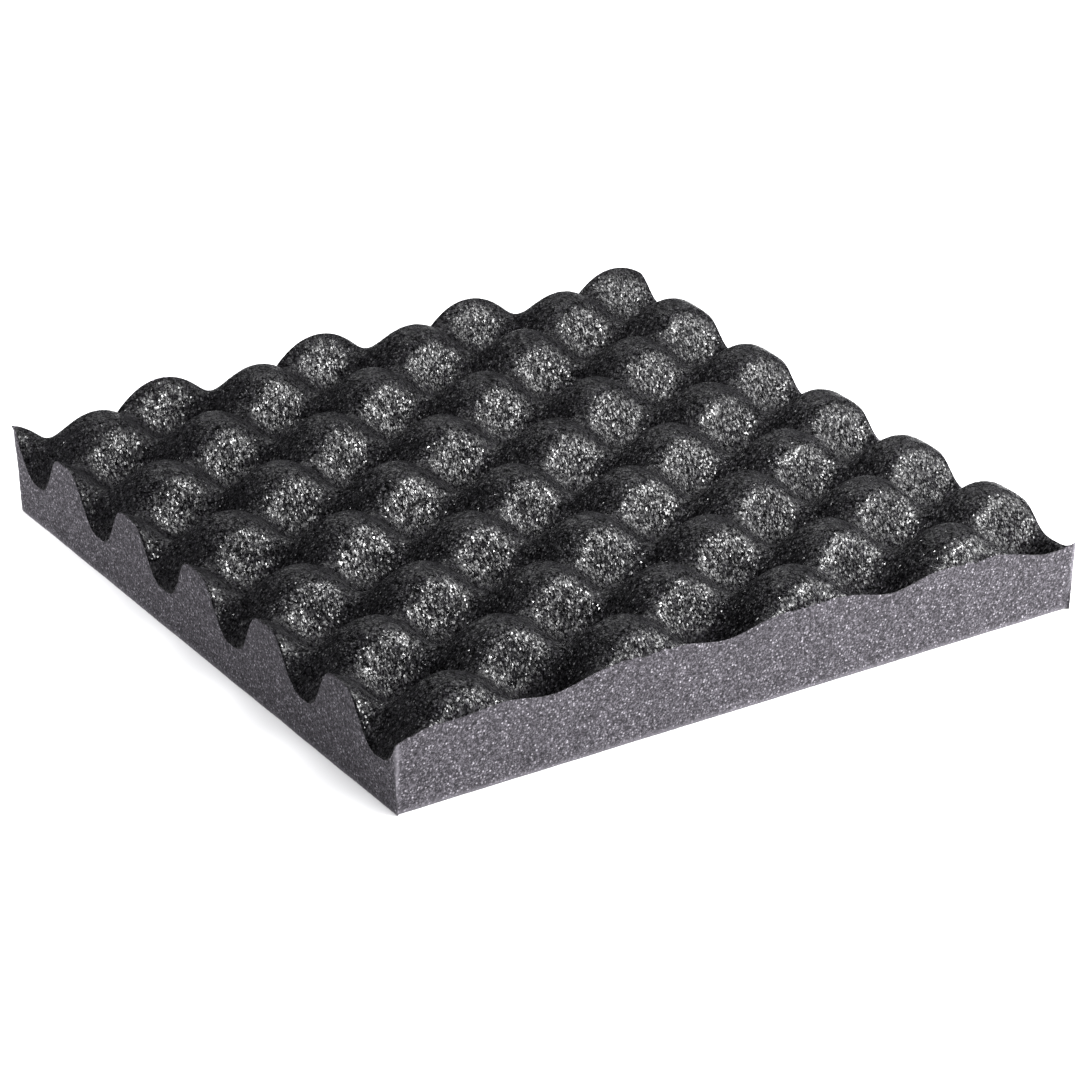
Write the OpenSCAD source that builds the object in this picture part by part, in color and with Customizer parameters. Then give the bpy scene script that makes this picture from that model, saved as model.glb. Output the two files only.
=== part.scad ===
// Convoluted (egg-crate) foam sheet: a square slab of soft foam with a flat
// underside, straight knife-cut sides and staggered rounded bumps on top.
// A thin textured skin covers the bumps and follows them all over.
// Millimetres. +Z is up, +X runs left to right, +Y runs front to back.
// The origin is the middle of the underside.

/* [Sheet] */
// Width at mid height, left to right
sheet_w = 353; // [300:1:420]
// Length at mid height, front to back
sheet_l = 355; // [300:1:420]
// How far the left and right cuts lean out between the underside and mid height
lean_w = 1.5; // [0:0.5:3]
// How far the front and back cuts lean out between the underside and mid height
lean_l = 3; // [0:0.5:4]

/* [Bumps] */
// Bump spacing along a row, left to right
pitch_w = 86.5; // [75:0.5:95]
// Bump spacing along a row, front to back
pitch_l = 63.5; // [55:0.5:75]
// Distance of the first bumps from the left cut
first_w = 34; // [20:0.5:45]
// Distance of the first bumps from the front cut
first_l = 15; // [5:0.5:30]
// Height of the surface halfway between pit and bump
mid_h = 36; // [32:0.5:45]
// How far bumps rise, and pits fall, from the halfway height
swing = 15.5; // [8:0.5:18]
// How square the wave is from front to back, where 0 is a plain wave
squareness = 0.11; // [0:0.01:0.2]
// How much the flanks swell beyond a plain wave
swell = 1.5; // [0:0.1:3]
// How much the saddles between bumps sink, left to right
saddle = 1; // [0:0.1:2]

/* [Relaxed shape] */
// How far the surface falls towards the left and right cuts
fall_w = 5.5; // [0:0.5:6]
// How far the surface rises towards the front and back cuts
rise_l = 3; // [0:0.5:4]
// How far opposite corners differ from a level surface
twist = 1; // [0:0.5:2]

/* [Skin] */
// Upright thickness of the textured skin
skin_t = 1.2; // [0.8:0.1:2]

/* [Hidden] */

// Grid steps in one bump spacing
steps = 8;
// Smallest gap, in grid steps, between a cut and the nearest grid line
edge_gap = 0.4;

// Phase of a place in the wave, in degrees, with the first bump at 0
function phase(at, size, first, pitch) = 360 * (at + size / 2 - first) / pitch;

// Height over mid_h of the staggered bumps, from the two phases
function bumps(a, b) =
    let (
        across = cos(a),
        along = (cos(b) - squareness * cos(3 * b)) / (1 - squareness),
        level = cos(a) * cos(b)
    )
    swing * across * along + swell * (1 - level * level) - saddle * cos(2 * a);

// Slow fall, rise and twist of the whole sheet, from -1 to 1 across each way
function relax(u, v) = rise_l * v * v - fall_w * u * u + twist * u * v;

// Height of the textured surface
function top_z(x, y) =
    mid_h
    + bumps(phase(x, sheet_w, first_w, pitch_w), phase(y, sheet_l, first_l, pitch_l))
    + relax(2 * x / sheet_w, 2 * y / sheet_l);

// Grid lines across one direction: both cuts, and lines that meet every crest
function lines(size, first, pitch) =
    let (
        step = pitch / steps,
        start = first - size / 2,
        low = ceil((-size / 2 + edge_gap * step - start) / step),
        high = floor((size / 2 - edge_gap * step - start) / step)
    )
    concat([-size / 2], [for (i = [low:high]) start + i * step], [size / 2]);

xs = lines(sheet_w, first_w, pitch_w);
ys = lines(sheet_l, first_l, pitch_l);
nx = len(xs);
ny = len(ys);
count = nx * ny;

// -1 at the first line, 1 at the last and 0 between
function side(i, n) = i == 0 ? -1 : i == n - 1 ? 1 : 0;

// A point of the sheet at grid place i, j and height z, moved onto the
// leaning cut where it is on an edge
function place(i, j, z) = [
    xs[i] + side(i, nx) * lean_w * (z / mid_h - 1),
    ys[j] + side(j, ny) * lean_l * (z / mid_h - 1),
    z
];

// The surface, lowered by drop, as one list of points
function layer(drop) =
    [for (i = [0:nx - 1]) for (j = [0:ny - 1]) place(i, j, top_z(xs[i], ys[j]) - drop)];

function at(i, j) = i * ny + j;

// Two triangles for each grid square, seen from above or from below
function sheet_faces(first, up) =
    [for (i = [0:nx - 2]) for (j = [0:ny - 2])
        let (
            a = first + at(i, j),
            b = first + at(i + 1, j),
            c = first + at(i + 1, j + 1),
            d = first + at(i, j + 1)
        )
        each up ? [[a, d, c], [a, c, b]] : [[a, b, c], [a, c, d]]];

// Grid places around the edge, anticlockwise from above
rim = concat(
    [for (i = [0:nx - 2]) [i, 0]],
    [for (j = [0:ny - 2]) [nx - 1, j]],
    [for (i = [nx - 1:-1:1]) [i, ny - 1]],
    [for (j = [ny - 1:-1:1]) [0, j]]
);
rim_n = len(rim);

module foam_core() {
    foot = [for (r = rim) place(r[0], r[1], 0)];
    top = [for (r = rim) at(r[0], r[1])];
    middle = count + rim_n;
    color("#56555b")
    polyhedron(
        points = concat(layer(skin_t), foot, [[0, 0, 0]]),
        faces = concat(
            sheet_faces(0, true),
            [for (k = [0:rim_n - 1])
                let (n = (k + 1) % rim_n)
                each [[top[k], top[n], count + n], [top[k], count + n, count + k]]],
            [for (k = [0:rim_n - 1]) [middle, count + k, count + (k + 1) % rim_n]]
        )
    );
}

module surface_skin() {
    low = [for (r = rim) at(r[0], r[1])];
    color("#2b2a2e")
    polyhedron(
        points = concat(layer(skin_t), layer(0)),
        faces = concat(
            sheet_faces(0, false),
            sheet_faces(count, true),
            [for (k = [0:rim_n - 1])
                let (n = (k + 1) % rim_n, a = low[k], b = low[n])
                each [[count + a, count + b, b], [count + a, b, a]]]
        )
    );
}

foam_core();
surface_skin();
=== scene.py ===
"""Blender looks for the convoluted foam sheet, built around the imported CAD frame.

Two pieces replace the plain CAD solids: foam_body, the open-cell slab with its rough
cut sides, and bump_skin, the thin creased skin over the staggered bumps.
Metres, in the CAD frame: +Z up, origin in the middle of the underside.
"""

import math

import bpy
import numpy as np
from mathutils import Matrix, Vector, noise


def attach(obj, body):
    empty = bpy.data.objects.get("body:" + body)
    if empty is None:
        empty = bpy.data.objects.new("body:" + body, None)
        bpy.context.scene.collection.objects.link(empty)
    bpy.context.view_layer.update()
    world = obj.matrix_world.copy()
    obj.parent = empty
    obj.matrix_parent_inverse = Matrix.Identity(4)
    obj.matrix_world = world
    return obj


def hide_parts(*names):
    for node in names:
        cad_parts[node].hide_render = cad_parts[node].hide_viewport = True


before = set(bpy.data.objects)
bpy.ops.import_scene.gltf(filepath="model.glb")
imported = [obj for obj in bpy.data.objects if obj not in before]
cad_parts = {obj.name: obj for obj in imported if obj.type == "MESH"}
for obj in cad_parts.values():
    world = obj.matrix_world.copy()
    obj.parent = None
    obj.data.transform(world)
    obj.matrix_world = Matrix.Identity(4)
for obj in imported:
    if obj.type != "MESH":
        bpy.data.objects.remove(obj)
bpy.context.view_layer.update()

MM = 0.001

# ---- the surface, as the CAD model has it ----
SHEET_W = 353 * MM
SHEET_L = 355 * MM
LEAN_W = 1.5 * MM
LEAN_L = 3 * MM
PITCH_W = 86.5 * MM
PITCH_L = 63.5 * MM
FIRST_W = 34 * MM
FIRST_L = 15 * MM
MID_H = 36 * MM
SWING = 15.5 * MM
SQUARENESS = 0.11
SWELL = 1.5 * MM
SADDLE = 1 * MM
FALL_W = 5.5 * MM
RISE_L = 3 * MM
TWIST = 1 * MM


def bump_height(x, y):
    """Height of the bumps over the halfway surface, for arrays of x and y."""
    a = 2 * math.pi * (x + SHEET_W / 2 - FIRST_W) / PITCH_W
    b = 2 * math.pi * (y + SHEET_L / 2 - FIRST_L) / PITCH_L
    along = (np.cos(b) - SQUARENESS * np.cos(3 * b)) / (1 - SQUARENESS)
    level = np.cos(a) * np.cos(b)
    return SWING * np.cos(a) * along + SWELL * (1 - level * level) - SADDLE * np.cos(2 * a)


def top_height(x, y):
    """Height of the textured surface over the sheet, for arrays of x and y."""
    u = 2 * x / SHEET_W
    v = 2 * y / SHEET_L
    return MID_H + bump_height(x, y) - FALL_W * u * u + RISE_L * v * v + TWIST * u * v


def noise_field(points, size, seed, octaves=1):
    """Smooth noise from -1 to 1 at each point, with features about size metres across."""
    offset = Vector((seed * 13.7, seed * 7.3, seed * 3.1))
    values = np.empty(len(points))
    for k, p in enumerate(points):
        at = Vector(p) / size + offset
        if octaves == 1:
            values[k] = noise.noise(at)
        else:
            values[k] = noise.fractal(at, 0.9, 2.1, octaves)
    return values


def add_mesh(name, points, faces, smooth=True):
    """A mesh object of these points and faces, placed at the origin."""
    mesh = bpy.data.meshes.new(name)
    mesh.from_pydata([tuple(p) for p in points], [], faces)
    mesh.validate()
    mesh.update()
    obj = bpy.data.objects.new(name, mesh)
    bpy.context.scene.collection.objects.link(obj)
    if smooth:
        mesh.shade_smooth()
    return obj


def add_values(obj, name, values):
    """Stores one number per point on the mesh, for its material to read."""
    layer = obj.data.attributes.new(name, "FLOAT", "POINT")
    layer.data.foreach_set("value", np.asarray(values, dtype=np.float32))


def zip_loops(outer, inner, points):
    """Triangles between two closed loops of point numbers that run the same way."""

    def fractions(loop):
        at = np.array([points[k][:2] for k in loop])
        steps = np.linalg.norm(np.roll(at, -1, axis=0) - at, axis=1)
        return np.concatenate([[0], np.cumsum(steps) / steps.sum()])

    fo, fi = fractions(outer), fractions(inner)
    faces = []
    o = i = 0
    while o < len(outer) or i < len(inner):
        a = outer[o % len(outer)]
        b = inner[i % len(inner)]
        step_outer = i >= len(inner) or (o < len(outer) and fo[o + 1] <= fi[i + 1])
        if step_outer:
            faces.append((a, outer[(o + 1) % len(outer)], b))
            o += 1
        else:
            faces.append((a, inner[(i + 1) % len(inner)], b))
            i += 1
    return faces


def grid_lines(size, step):
    """Evenly spaced lines from one cut to the other, about step apart."""
    return np.linspace(-size / 2, size / 2, int(round(size / step)) + 1)


def grid_rim(nx, ny):
    """Numbers of the rim points of an nx by ny grid, anticlockwise from above."""
    rim = [i * ny for i in range(nx - 1)]
    rim += [(nx - 1) * ny + j for j in range(ny - 1)]
    rim += [i * ny + ny - 1 for i in range(nx - 1, 0, -1)]
    rim += list(range(ny - 1, 0, -1))
    return rim


def grid_faces(nx, ny, first=0, up=True):
    """Quads of an nx by ny grid of points that starts at number first."""
    i, j = np.meshgrid(np.arange(nx - 1), np.arange(ny - 1), indexing="ij")
    a = (first + i * ny + j).ravel()
    quads = np.stack([a, a + ny, a + ny + 1, a + 1], axis=1)
    if not up:
        quads = quads[:, ::-1]
    return [tuple(int(n) for n in q) for q in quads]


# ---- relief shared by both pieces ----
SETTLE_SLOW, SETTLE_SLOW_SIZE = 0.8 * MM, 70 * MM
SETTLE_MID, SETTLE_MID_SIZE = 0.35 * MM, 22 * MM
LEAN_FADE = 10 * MM


def settle(x, y):
    """Slow, uneven relaxing of the foam, in metres of height."""
    at = np.stack([x.ravel(), y.ravel(), np.zeros(x.size)], axis=1)
    slow = noise_field(at, SETTLE_SLOW_SIZE, 3)
    mid = noise_field(at, SETTLE_MID_SIZE, 5)
    return (SETTLE_SLOW * slow + SETTLE_MID * mid).reshape(x.shape)


def lean(x, y, z):
    """Moves edge points at height z onto the leaning cuts, and their neighbours less and less."""
    out_x = np.sign(x) * np.clip(1 - (SHEET_W / 2 - np.abs(x)) / LEAN_FADE, 0, 1)
    out_y = np.sign(y) * np.clip(1 - (SHEET_L / 2 - np.abs(y)) / LEAN_FADE, 0, 1)
    up = z / MID_H - 1
    return x + out_x * LEAN_W * up, y + out_y * LEAN_L * up


# hidden rings just inside the cuts: how far in, and the share of the full depth under the top
RINGS = ((1.5 * MM, 0.55), (4 * MM, 1.0))
INNER = 6 * MM
INNER_STEP = 4 * MM


def hidden_rings(outline, depth):
    """Rings of points under the textured surface that follow this outline inside the cuts."""
    rings = []
    for inset, share in RINGS:
        x = outline[:, 0] * (1 - 2 * inset / SHEET_W)
        y = outline[:, 1] * (1 - 2 * inset / SHEET_L)
        z = top_height(x, y) + settle(x, y)
        x, y = lean(x, y, z)
        rings.append(np.stack([x, y, z - share * depth], axis=1))
    return rings


def inner_grid(depth):
    """Lines and points of the plain grid that closes a piece inside its rings."""
    gx = grid_lines(SHEET_W - 2 * INNER, INNER_STEP)
    gy = grid_lines(SHEET_L - 2 * INNER, INNER_STEP)
    x, y = np.meshgrid(gx, gy, indexing="ij")
    z = top_height(x, y) + settle(x, y)
    x, y = lean(x, y, z)
    return gx, gy, np.stack([x, y, z - depth], axis=-1).reshape(-1, 3)


def ring_faces(outer, inner, flip=False):
    """Quads between two closed loops with the same number of points."""
    n = len(outer)
    faces = []
    for k in range(n):
        m = (k + 1) % n
        quad = (outer[k], outer[m], inner[m], inner[k])
        faces.append(quad[::-1] if flip else quad)
    return faces


# ---- bump skin ----
SKIN_STEP = 1.35 * MM
SKIN_T = 0.9 * MM
SKIN_EDGE_T = 0.15 * MM
SKIN_GRAIN, SKIN_GRAIN_SIZE = 0.14 * MM, 3.2 * MM
GRAIN_FADE = 2 * MM
# the pits, as bump height over swing: where they start and how far they take to be full
DIP_START, DIP_SPAN = -0.3, 0.5


def build_skin():
    """The thin skin over the bumps: a closed shell with a creased upper face."""
    xs = grid_lines(SHEET_W, SKIN_STEP)
    ys = grid_lines(SHEET_L, SKIN_STEP)
    x, y = np.meshgrid(xs, ys, indexing="ij")
    z = top_height(x, y) + settle(x, y)
    px, py = lean(x, y, z)
    upper = np.stack([px.ravel(), py.ravel(), z.ravel()], axis=1)
    grain = noise_field(upper, SKIN_GRAIN_SIZE, 11, octaves=2)
    inside = np.minimum(SHEET_W / 2 - np.abs(x), SHEET_L / 2 - np.abs(y)).ravel()
    fade = np.clip(inside / GRAIN_FADE, 0, 1)
    upper[:, 2] += SKIN_GRAIN * grain * fade
    rim = grid_rim(len(xs), len(ys))

    lower = upper[rim].copy()
    lower[:, 2] -= SKIN_EDGE_T
    outline = np.stack([x.ravel(), y.ravel()], axis=1)[rim]
    rings = hidden_rings(outline, SKIN_T)
    bx, by, back = inner_grid(SKIN_T)
    points = np.concatenate([upper, lower, *rings, back])
    n_up, n_rim = len(upper), len(rim)
    loops = [rim] + [[n_up + r * n_rim + k for k in range(n_rim)] for r in range(1 + len(rings))]
    faces = grid_faces(len(xs), len(ys))
    for outer, inner in zip(loops, loops[1:]):
        faces += ring_faces(outer, inner, flip=True)
    first_back = n_up + n_rim * (1 + len(rings))
    back_rim = [first_back + k for k in grid_rim(len(bx), len(by))]
    for a, b, c in zip_loops(loops[-1], back_rim, points):
        faces.append((c, b, a))
    faces += grid_faces(len(bx), len(by), first_back, up=False)
    skin = add_mesh("bump_skin", points, faces)
    # the pit mask makes the skin rougher in the pits and also carries painted shade there, through a lower
    # specular level
    level = bump_height(points[:, 0], points[:, 1]) / SWING
    add_values(skin, "dip", np.clip((DIP_START - level) / DIP_SPAN, 0, 1))
    return skin


# ---- foam body ----
SIDE_STEP = 0.85 * MM
SIDE_ROWS = 34
CORNER_R = 1.6 * MM
CORNER_STEPS = 4
CUT_ROUGH, CUT_ROUGH_SIZE = 0.16 * MM, 1.5 * MM
CUT_WAVE, CUT_WAVE_SIZE = 0.25 * MM, 14 * MM
# the hidden faces stay this far from the skin
SKIN_GAP = 0.02 * MM
# painted sheen on paler edges, where frayed foam catches the light: how much and how far from the upright
# corners and from the lower edge
CORNER_SHEEN, CORNER_SHEEN_W = 0.6, 0.5 * MM
FOOT_SHEEN, FOOT_SHEEN_H = 0.9, 0.9 * MM


def perimeter():
    """Points and outward directions along the sheet's outline, with small round corners."""
    half_w, half_l = SHEET_W / 2, SHEET_L / 2
    points, normals = [], []
    corners = [(half_w, -half_l), (half_w, half_l), (-half_w, half_l), (-half_w, -half_l)]
    start_angles = [-90, 0, 90, 180]
    for (cx, cy), start in zip(corners, start_angles):
        mx = cx - math.copysign(CORNER_R, cx)
        my = cy - math.copysign(CORNER_R, cy)
        for k in range(CORNER_STEPS + 1):
            a = math.radians(start + 90 * k / CORNER_STEPS)
            points.append((mx + CORNER_R * math.cos(a), my + CORNER_R * math.sin(a)))
            normals.append((math.cos(a), math.sin(a)))
    path, out = [], []
    n = len(points)
    for k in range(n):
        p, q = np.array(points[k]), np.array(points[(k + 1) % n])
        a, b = np.array(normals[k]), np.array(normals[(k + 1) % n])
        pieces = max(1, int(round(np.linalg.norm(q - p) / SIDE_STEP)))
        for s in range(pieces):
            t = s / pieces
            path.append(p + (q - p) * t)
            m = a + (b - a) * t
            out.append(m / np.linalg.norm(m))
    return np.array(path), np.array(out)


def build_foam():
    """The foam slab: rough open-cell cut sides, and plain hidden faces above and below."""
    path, out = perimeter()
    n = len(path)
    tops = top_height(path[:, 0], path[:, 1]) + settle(path[:, 0], path[:, 1])
    rows = []
    for r in range(SIDE_ROWS + 1):
        z = tops * r / SIDE_ROWS
        up = z / MID_H - 1
        x = path[:, 0] + out[:, 0] * LEAN_W * up
        y = path[:, 1] + out[:, 1] * LEAN_L * up
        rows.append(np.stack([x, y, z], axis=1))
    wall = np.concatenate(rows)
    cells = noise_field(wall, CUT_ROUGH_SIZE, 21)
    slow = noise_field(wall, CUT_WAVE_SIZE, 23)
    push = CUT_ROUGH * cells + CUT_WAVE * slow
    outs = np.tile(out, (SIDE_ROWS + 1, 1))
    wall[:, :2] += outs * push[:, None]
    wall[:n, 2] = 0
    wall[n * SIDE_ROWS:, 2] -= SKIN_GAP

    faces = []
    for r in range(SIDE_ROWS):
        for k in range(n):
            m = (k + 1) % n
            faces.append((r * n + k, r * n + m, (r + 1) * n + m, (r + 1) * n + k))
    rings = hidden_rings(path, SKIN_T + SKIN_GAP)
    cx, cy, top_grid = inner_grid(SKIN_T + SKIN_GAP)
    base_grid = top_grid.copy()
    base_grid[:, 2] = 0
    points = np.concatenate([wall, *rings, top_grid, base_grid])
    first_top = len(wall) + n * len(rings)
    first_base = first_top + len(top_grid)
    rim = grid_rim(len(cx), len(cy))
    # the grid's rim starts at the front left corner, so the wall's loops do too
    start = int(np.argmin(path[:, 0] + path[:, 1]))
    turn = [(start + k) % n for k in range(n)]
    loops = [[(SIDE_ROWS + r) * n + k for k in turn] for r in range(1 + len(rings))]
    for outer, inner in zip(loops, loops[1:]):
        faces += ring_faces(outer, inner)
    faces += zip_loops(loops[-1], [first_top + k for k in rim], points)
    for a, b, c in zip_loops(turn, [first_base + k for k in rim], points):
        faces.append((c, b, a))
    faces += grid_faces(len(cx), len(cy), first_top)
    faces += grid_faces(len(cx), len(cy), first_base, up=False)
    foam = add_mesh("foam_body", points, faces)
    # paler upright corners and lower edge: painted sheen of frayed foam catching the light
    inside_w = SHEET_W / 2 - np.abs(points[:, 0])
    inside_l = SHEET_L / 2 - np.abs(points[:, 1])
    on_cut = np.minimum(inside_w, inside_l) < 2 * LEAN_L
    from_corner = np.clip(np.maximum(inside_w, inside_l) - CORNER_R, 0, None)
    corner_sheen = CORNER_SHEEN * np.exp(-from_corner / CORNER_SHEEN_W)
    foot_sheen = FOOT_SHEEN * np.exp(-points[:, 2] / FOOT_SHEEN_H)
    add_values(foam, "painted_edge_sheen", np.where(on_cut, np.maximum(corner_sheen, foot_sheen), 0))
    return foam


# ---- materials ----
class Nodes:
    """Short helpers for building one material's node tree."""

    def __init__(self, name):
        self.material = bpy.data.materials.new(name)
        self.material.use_nodes = True
        self.tree = self.material.node_tree
        self.bsdf = self.tree.nodes["Principled BSDF"]

    def add(self, kind, inputs=None, **settings):
        node = self.tree.nodes.new(kind)
        for key, value in settings.items():
            setattr(node, key, value)
        for key, value in (inputs or {}).items():
            if isinstance(value, bpy.types.NodeSocket):
                self.tree.links.new(value, node.inputs[key])
            else:
                node.inputs[key].default_value = value
        return node

    def link(self, source, socket):
        self.tree.links.new(source, self.bsdf.inputs[socket])

    def math(self, operation, a, b=None):
        node = self.add("ShaderNodeMath", operation=operation)
        for k, value in enumerate((a, b)):
            if value is None:
                continue
            if isinstance(value, bpy.types.NodeSocket):
                self.tree.links.new(value, node.inputs[k])
            else:
                node.inputs[k].default_value = value
        return node.outputs[0]

    def ramp(self, value, stops):
        node = self.add("ShaderNodeValToRGB", {"Fac": value})
        elements = node.color_ramp.elements
        while len(elements) < len(stops):
            elements.new(0.5)
        for element, (at, colour) in zip(elements, stops):
            element.position = at
            element.color = (*colour, 1)
        return node.outputs["Color"]

    def vector(self, operation, a, b=None, scale=None):
        inputs = {0: a}
        if b is not None:
            inputs[1] = b
        if scale is not None:
            inputs["Scale"] = scale
        return self.add("ShaderNodeVectorMath", inputs, operation=operation).outputs[0]

    def mix_colour(self, share, a, b, blend="MIX"):
        inputs = {0: share, 6: a, 7: b}
        node = self.add("ShaderNodeMix", inputs, data_type="RGBA", blend_type=blend)
        return node.outputs[2]

    def mesh_value(self, name):
        """A number that the mesh stores at each point."""
        return self.add("ShaderNodeAttribute", attribute_name=name).outputs["Fac"]

    def place(self, scale, turn=(0, 0, 0)):
        """Object position multiplied by scale per axis, per millimetre, then turned."""
        coords = self.add("ShaderNodeTexCoord").outputs["Object"]
        per_mm = tuple(s / MM for s in scale)
        mapping = self.add("ShaderNodeMapping", {"Vector": coords, "Scale": per_mm, "Rotation": turn})
        return mapping.outputs["Vector"]


def skin_material():
    """Near-black skin of small glossy scales, drawn out down the slopes."""
    n = Nodes("textured_skin")
    at = n.place((1, 1, 0.45))
    scales = n.add("ShaderNodeTexVoronoi", {"Vector": at, "Scale": 1.75})
    spread = n.add("ShaderNodeTexWhiteNoise", {"Vector": scales.outputs["Position"]})
    folds = n.add("ShaderNodeTexNoise", {"Vector": at, "Scale": 0.5, "Detail": 3.0})

    # every scale tilts its own way: most of them a little, a few a lot
    way = n.vector("ADD", scales.outputs["Color"], spread.outputs["Color"])
    way = n.vector("SUBTRACT", way, (1, 1, 1))
    much = n.math("POWER", spread.outputs["Value"], 4.0)
    much = n.math("ADD", n.math("MULTIPLY", much, 1.4), 0.14)
    tilt = n.vector("SCALE", way, scale=much)
    fold = n.vector("SUBTRACT", folds.outputs["Color"], (0.5, 0.5, 0.5))
    fold = n.vector("SCALE", fold, scale=0.4)
    shape = n.add("ShaderNodeNewGeometry").outputs["Normal"]
    turned = n.vector("ADD", n.vector("ADD", shape, tilt), fold)
    n.link(n.vector("NORMALIZE", turned), "Normal")

    # painted shade: fine dark crease lines follow the level lines and cut the colour and the specular
    # level; the pits are rougher than the bumps, and their lower specular level is painted shade too
    wave = n.add("ShaderNodeTexNoise", {"Vector": n.place((0.3, 0.3, 0.9)), "Scale": 0.55, "Detail": 2.0})
    off = n.math("ABSOLUTE", n.math("SUBTRACT", wave.outputs["Fac"], 0.5))
    # painted shade in the creases: colour and specular level drop to a tenth along the crease lines
    crease_shade = n.ramp(off, [(0.0, (0.1,) * 3), (0.04, (1.0,) * 3)])
    dip = n.mesh_value("dip")
    # painted shade in the pits: the specular level falls to 15 % at the pit bottoms
    pit_shade = n.math("SUBTRACT", 1.0, n.math("MULTIPLY", dip, 0.85))

    pick = n.add("ShaderNodeSeparateColor", {"Color": spread.outputs["Color"]})
    colour = n.ramp(pick.outputs["Red"], [(0.0, (0.001, 0.001, 0.0012)), (0.75, (0.005, 0.0047, 0.0056)),
                                          (1.0, (0.022, 0.0208, 0.0243))])
    n.link(n.mix_colour(1.0, colour, crease_shade, blend="MULTIPLY"), "Base Color")
    rough = n.ramp(pick.outputs["Green"], [(0.0, (0.22,) * 3), (1.0, (0.5,) * 3)])
    dull = n.add("ShaderNodeMix", inputs={0: dip, 2: rough, 3: 0.6}).outputs[0]
    n.link(dull, "Roughness")
    level = n.ramp(pick.outputs["Blue"], [(0.0, (0.0,) * 3), (0.6, (0.32,) * 3), (1.0, (1.0,) * 3)])
    mottle = n.ramp(folds.outputs["Fac"], [(0.36, (0.2,) * 3), (0.64, (1.0,) * 3)])
    level = n.math("MULTIPLY", n.math("MULTIPLY", level, mottle), 1.6)
    level = n.math("MULTIPLY", n.math("MULTIPLY", level, crease_shade), pit_shade)
    n.link(level, "Specular IOR Level")
    return n.material


def foam_material():
    """Matt charcoal open-cell foam: fine dark and pale grain, pale dots painted as glints of cell windows,
    and pale edges painted as sheen of frayed foam.
    """
    n = Nodes("open_cell_foam")
    place = n.place((1, 1, 1), turn=(0.6, 0.4, 0.8))
    cells = n.add("ShaderNodeTexVoronoi", {"Vector": place, "Scale": 1.6})
    clumps = n.add("ShaderNodeTexNoise", {"Vector": place, "Scale": 0.62, "Detail": 4.0, "Roughness": 0.8})
    window_glints = n.add("ShaderNodeTexVoronoi", {"Vector": place, "Scale": 0.9})
    patches = n.add("ShaderNodeTexNoise", {"Vector": place, "Scale": 0.1, "Detail": 3.0})
    pick = n.add("ShaderNodeSeparateColor", {"Color": cells.outputs["Color"]}).outputs["Red"]
    grain = n.math("ADD", n.math("MULTIPLY", pick, 0.42), n.math("MULTIPLY", clumps.outputs["Fac"], 1.05))
    tone = n.ramp(grain, [(0.4, (0.007, 0.0064, 0.0076)), (0.72, (0.0295, 0.0273, 0.0318)),
                          (1.0, (0.098, 0.091, 0.104))])
    # pale dots: painted glints of the foam's cell windows
    glint_pick = n.add("ShaderNodeSeparateColor", {"Color": window_glints.outputs["Color"]}).outputs["Green"]
    near = n.ramp(window_glints.outputs["Distance"], [(0.15, (1.0,) * 3), (0.55, (0.0,) * 3)])
    glint_mask = n.math("MULTIPLY", n.math("POWER", glint_pick, 4.0), near)
    glint_dotted = n.mix_colour(glint_mask, tone, (0.34, 0.323, 0.355, 1))
    # painted sheen on the pale edges, patchy with the clumps
    painted_edge_sheen = n.math("MULTIPLY", n.mesh_value("painted_edge_sheen"), n.math("ADD", clumps.outputs["Fac"], 0.35))
    edged = n.mix_colour(painted_edge_sheen, glint_dotted, (0.20, 0.19, 0.21, 1))
    shade = n.ramp(patches.outputs["Fac"], [(0.3, (0.9,) * 3), (0.7, (1.1,) * 3)])
    n.link(n.mix_colour(1.0, edged, shade, blend="MULTIPLY"), "Base Color")
    n.bsdf.inputs["Roughness"].default_value = 0.95
    n.bsdf.inputs["Specular IOR Level"].default_value = 0.2
    bump = n.add("ShaderNodeBump", {"Height": grain, "Strength": 0.6,
                                    "Distance": 0.3 * MM}).outputs["Normal"]
    n.link(bump, "Normal")
    return n.material


# ---- stage ----
CAMERA_AZIMUTH = -31.83
CAMERA_ELEVATION = 25.71
CAMERA_ROLL = -0.53
CAMERA_DISTANCE = 2.029
CAMERA_TARGET = (13.2 * MM, 14.6 * MM, 0)
CAMERA_LENS = 145.2


def direction(azimuth, elevation):
    """Unit vector from the object towards this azimuth, where 0 is the front, and elevation."""
    a, e = math.radians(azimuth), math.radians(elevation)
    return Vector((math.cos(e) * math.sin(a), -math.cos(e) * math.cos(a), math.sin(e)))


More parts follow.
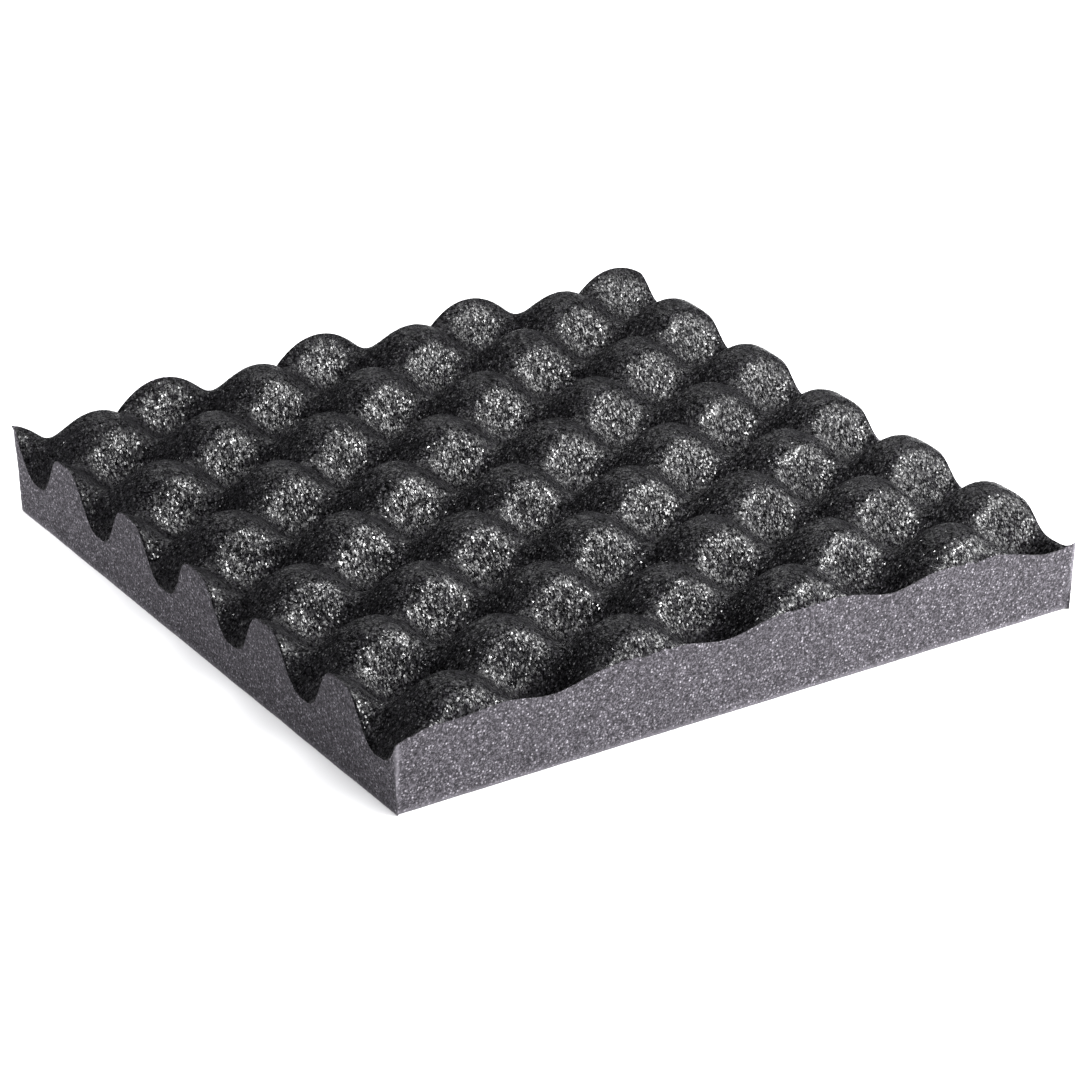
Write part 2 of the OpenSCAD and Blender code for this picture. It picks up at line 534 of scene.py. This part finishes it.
def build_camera():
    data = bpy.data.cameras.new("camera")
    data.lens = CAMERA_LENS
    data.sensor_width = 36
    data.clip_start = 0.05
    data.clip_end = 50
    camera = bpy.data.objects.new("camera", data)
    bpy.context.scene.collection.objects.link(camera)
    away = direction(CAMERA_AZIMUTH, CAMERA_ELEVATION)
    right = (-away).cross(Vector((0, 0, 1))).normalized()
    up = right.cross(-away)
    roll = math.radians(CAMERA_ROLL)
    x_axis = math.cos(roll) * right + math.sin(roll) * up
    y_axis = -math.sin(roll) * right + math.cos(roll) * up
    turn = Matrix((x_axis, y_axis, away)).transposed()
    place = Vector(CAMERA_TARGET) + away * CAMERA_DISTANCE
    camera.matrix_world = Matrix.Translation(place) @ turn.to_4x4()
    bpy.context.scene.camera = camera


def softbox(name, azimuth, elevation, distance, size, power, gloss=True):
    """A square soft light that looks at the sheet from this direction.

    Without gloss it is a plain fill, which the shiny skin doesn't mirror.
    """
    data = bpy.data.lights.new(name, "AREA")
    data.shape = "SQUARE"
    data.size = size
    data.energy = power
    light = bpy.data.objects.new(name, data)
    bpy.context.scene.collection.objects.link(light)
    away = direction(azimuth, elevation)
    light.location = away * distance
    light.visible_glossy = gloss
    light.visible_camera = False
    light.rotation_euler = away.to_track_quat("Z", "Y").to_euler()
    return light


FLOOR_HALF = 3.0
FLOOR_GAP = 0.3 * MM


def build_stage():
    half = FLOOR_HALF
    corners = [(-half, -half, 0), (half, -half, 0), (half, half, 0), (-half, half, 0)]
    floor = add_mesh("floor", corners, [(0, 1, 2, 3)], smooth=False)
    n = Nodes("pale_floor")
    n.bsdf.inputs["Base Color"].default_value = (0.86, 0.86, 0.87, 1)
    n.bsdf.inputs["Roughness"].default_value = 0.9
    floor.data.materials.append(n.material)
    floor.location.z = -FLOOR_GAP
    world = bpy.data.worlds.new("studio")
    world.use_nodes = True
    background = world.node_tree.nodes["Background"]
    background.inputs["Color"].default_value = (0.95, 0.97, 1.0, 1)
    background.inputs["Strength"].default_value = 0.15
    bpy.context.scene.world = world
    softbox("key", 31, 38, 1.2, 0.3, 18)
    softbox("side", 58, 24, 1.0, 0.6, 9)
    softbox("back", 140, 60, 2.0, 2.4, 21)
    softbox("front", 14, 22, 1.8, 1.2, 25, gloss=False)
    softbox("overhead", 0, 88, 2.0, 3.0, 75, gloss=False)
    softbox("far_left", -128, 20, 0.45, 0.2, 0.75, gloss=False)
    bpy.context.scene.view_settings.view_transform = "Standard"


skin = build_skin()
foam = build_foam()
skin.data.materials.append(skin_material())
foam.data.materials.append(foam_material())
stands_for = (
    (skin, "surface_skin", "textured_skin"),
    (foam, "foam_core", "open_cell_foam"),
)
for piece, node, slot_name in stands_for:
    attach(piece, "root")
    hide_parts(node)
build_camera()
build_stage()
